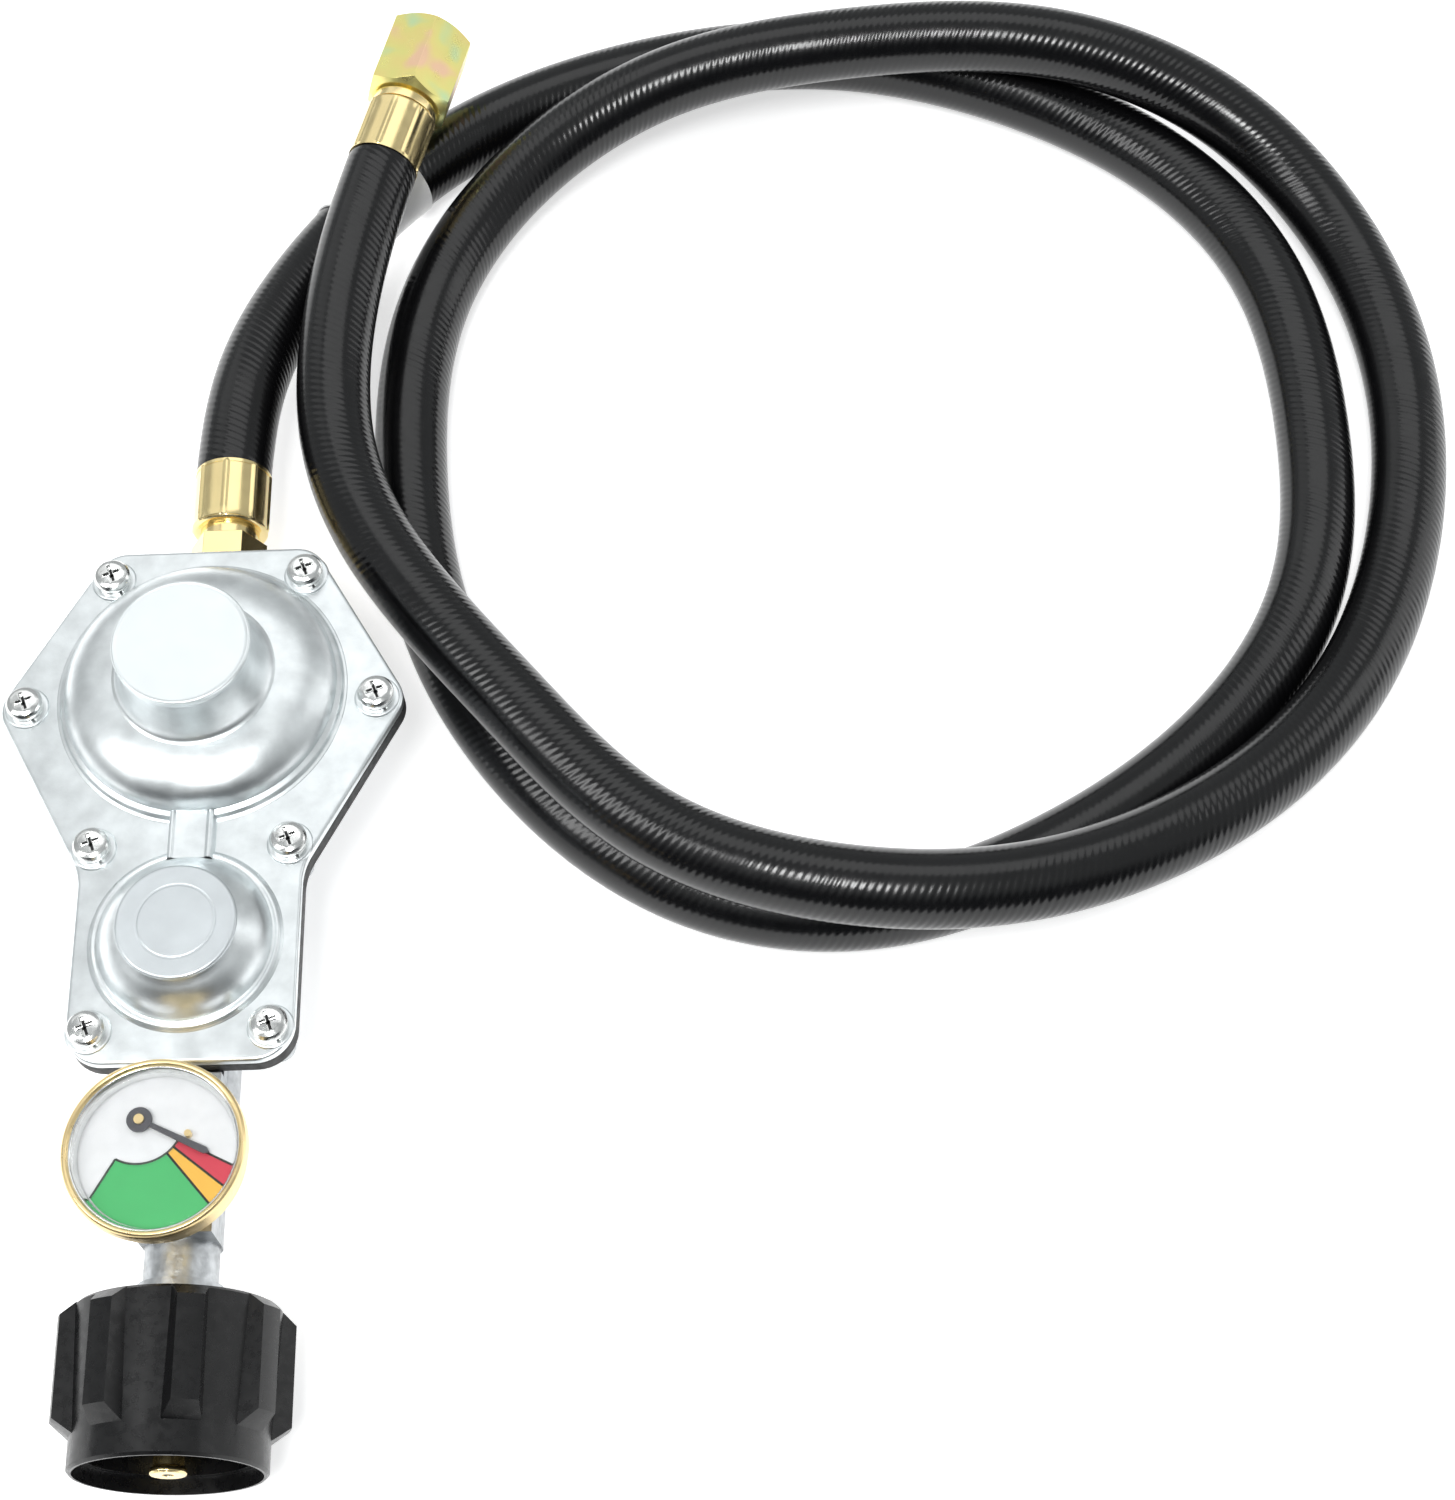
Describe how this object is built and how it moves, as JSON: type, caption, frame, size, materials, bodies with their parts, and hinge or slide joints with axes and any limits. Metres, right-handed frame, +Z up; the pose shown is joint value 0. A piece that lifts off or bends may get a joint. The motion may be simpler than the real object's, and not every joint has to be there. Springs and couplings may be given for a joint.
{
  "type": "propane regulator hose",
  "caption": "Two-stage gas regulator with a pressure gauge, a ribbed hand nut for the tank valve and a looped rubber hose ending in a swivel flare nut.",
  "frame": {"origin": "centre of the regulator's bounding box on its resting face, the hose and its far end left out", "axes": "+Y along the gas ports from the tank nut to the hose outlet, +Z up through the covers, +X to the side where the hose lies"},
  "size_m": [0.3226, 0.3624, 0.0631],
  "materials": {
    "cover_metal": "die-cast, bright, faint cast grain",
    "cap_plate": "plain satin plated disc",
    "pressed_cap": "satin pressed disc",
    "body_metal": "rough die-cast",
    "screw_steel": "bright zinc-plated steel",
    "spring_steel": "drawn spring wire",
    "brass_fitting": "turned and crimped brass",
    "gauge_brass": "polished brass",
    "diaphragm_rubber": "matte black rubber",
    "seat_rubber": "moulded nitrile",
    "dial_face": "white dial with green, yellow and red sectors",
    "pointer_grey": "grey painted",
    "gauge_glass": "clear lens",
    "nut_plastic": "grainy black moulded nylon",
    "bushing_plastic": "moulded thermal bushing",
    "hose_rubber": "black hose cover with fine wrap marks",
    "label_film": "plain white sleeve label",
    "plated_nut": "yellow iridescent zinc plating",
    "screen_mesh": "woven wire screen"
  },
  "bodies": {
    "regulator": {"cover": "cover_metal", "second_stage_cap": "cap_plate", "adjuster_screw": "brass_fitting", "second_stage_spring": "spring_steel", "second_diaphragm": "diaphragm_rubber", "second_lever_pin": "screw_steel", "second_stage_orifice": "brass_fitting", "first_stage_cap": "pressed_cap", "first_stage_spring": "spring_steel", "first_diaphragm": "diaphragm_rubber", "first_lever_pin": "screw_steel", "first_stage_orifice": "brass_fitting", "diaphragm_gasket": "diaphragm_rubber", "lower_body": "body_metal", "cover_screws": "screw_steel", "lock_washers": "screw_steel", "vent_screen": "screen_mesh", "inlet_filter": "brass_fitting", "gauge_socket": "gauge_brass", "gauge_case": "gauge_brass", "gauge_bezel": "gauge_brass", "gauge_lens": "gauge_glass", "gauge_dial": "dial_face", "gauge_stop_pin": "gauge_brass", "gauge_movement": "gauge_brass", "bourdon_tube": "gauge_brass", "fusible_bushing": "bushing_plastic", "inlet_nipple": "brass_fitting", "nipple_seal": "seat_rubber", "outlet_fitting": "brass_fitting", "outlet_ferrule": "brass_fitting", "hose": "hose_rubber", "hose_label": "label_film", "far_ferrule": "brass_fitting", "flare_insert": "brass_fitting"},
    "tank_nut": {"tank_nut": "nut_plastic"},
    "flare_nut": {"flare_nut": "plated_nut"},
    "gauge_pointer": {"gauge_pointer": "pointer_grey", "pointer_arbor": "gauge_brass"},
    "flow_check": {"flow_check_poppet": "brass_fitting", "poppet_spring": "spring_steel"},
    "second_diaphragm_plate": {"second_diaphragm_plate": "pressed_cap"},
    "second_stage_lever": {"second_stage_lever": "brass_fitting"},
    "second_stage_valve": {"second_stage_valve": "seat_rubber"},
    "first_diaphragm_plate": {"first_diaphragm_plate": "pressed_cap"},
    "first_stage_lever": {"first_stage_lever": "brass_fitting"},
    "first_stage_valve": {"first_stage_valve": "seat_rubber"}
  },
  "joints": [
    {"name": "tank_nut_spin", "type": "hinge", "parent": "regulator", "child": "tank_nut", "pos_m": [0, -0.097, 0.0235], "axis": [0, 1, 0], "continuous": true},
    {"name": "flare_nut_spin", "type": "hinge", "parent": "regulator", "child": "flare_nut", "pos_m": [0.0404, 0.22438, 0.0292], "axis": [0.2747, 0.9615, 0], "continuous": true},
    {"name": "gauge_pointer_turn", "type": "hinge", "parent": "regulator", "child": "gauge_pointer", "pos_m": [-0.0037, -0.0505, 0.0515], "axis": [0, 0, 1], "range_deg": [-95, 0]},
    {"name": "flow_check_slide", "type": "slide", "parent": "regulator", "child": "flow_check", "axis": [0, 1, 0], "range_m": [0, 0.002]},
    {"name": "second_diaphragm_lift", "type": "slide", "parent": "regulator", "child": "second_diaphragm_plate", "axis": [0, 0, 1], "range_m": [0, 0.0015], "deforming": ["second_stage_spring", "second_diaphragm"]},
    {"name": "second_lever_turn", "type": "hinge", "parent": "regulator", "child": "second_stage_lever", "pos_m": [0, 0.0284, 0.019], "axis": [1, 0, 0], "range_deg": [0, 4.3]},
    {"name": "second_valve_slide", "type": "slide", "parent": "regulator", "child": "second_stage_valve", "axis": [0, -1, 0], "range_m": [0, 0.00034]},
    {"name": "first_diaphragm_lift", "type": "slide", "parent": "regulator", "child": "first_diaphragm_plate", "axis": [0, 0, 1], "range_m": [0, 0.0007], "deforming": ["first_stage_spring", "first_diaphragm"]},
    {"name": "first_lever_turn", "type": "hinge", "parent": "regulator", "child": "first_stage_lever", "pos_m": [0, -0.0172, 0.0195], "axis": [1, 0, 0], "range_deg": [0, 4.5]},
    {"name": "first_valve_slide", "type": "slide", "parent": "regulator", "child": "first_stage_valve", "axis": [0, -1, 0], "range_m": [0, 0.00032]}
  ],
  "couplings": [
    {"joint": "second_lever_turn", "follows": "second_diaphragm_lift", "rad_per_m": 48.544},
    {"joint": "second_valve_slide", "follows": "second_diaphragm_lift", "ratio": 0.21845},
    {"joint": "first_lever_turn", "follows": "first_diaphragm_lift", "rad_per_m": 108.7},
    {"joint": "first_valve_slide", "follows": "first_diaphragm_lift", "ratio": 0.43478}
  ]
}
